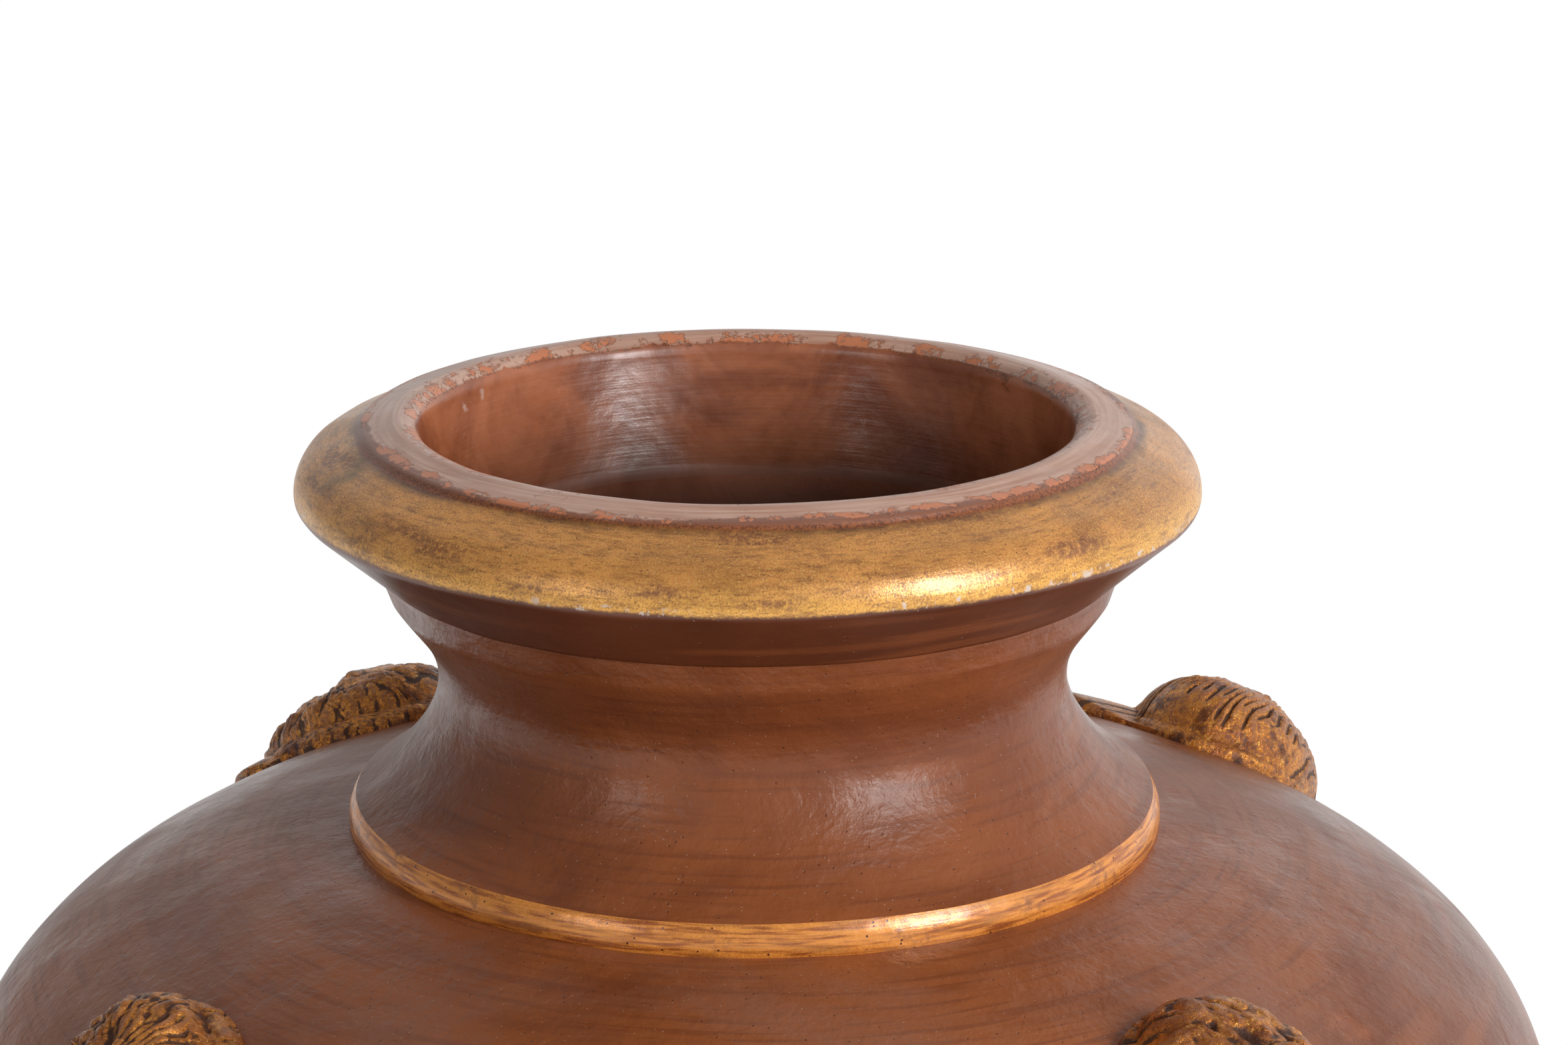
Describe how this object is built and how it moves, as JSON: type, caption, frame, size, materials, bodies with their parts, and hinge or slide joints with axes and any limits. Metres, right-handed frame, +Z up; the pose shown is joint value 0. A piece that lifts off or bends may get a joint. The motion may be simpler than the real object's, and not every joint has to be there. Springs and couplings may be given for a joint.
{
  "type": "painted terracotta vase",
  "caption": "Large round-bellied terracotta floor vase with a waisted neck, a rolled gilded rim and gilded lion masks on the shoulder.",
  "frame": {"origin": "centre of the foot's underside, on the jar's axis of revolution, at floor level", "axes": "+Z up along the jar's axis; -Y faces the viewer of the picture, so two masks face forward left and right and two backward"},
  "size_m": [0.581, 0.581, 0.7],
  "materials": {
    "painted_clay": "reddish-brown paint on terracotta, waxed satin, worn through to the orange clay in places",
    "gilding": "antique gold paint on terracotta, satin, rubbed and darkened with brown patina in the hollows"
  },
  "bodies": {
    "root": {"foot_ring": "painted_clay", "lower_body": "painted_clay", "shoulder": "painted_clay", "neck_fillet": "gilding", "neck": "painted_clay", "rim": "gilding", "lion_mask_front_left": "gilding", "lion_mask_front_right": "gilding", "lion_mask_back_right": "gilding", "lion_mask_back_left": "gilding"}
  },
  "joints": []
}
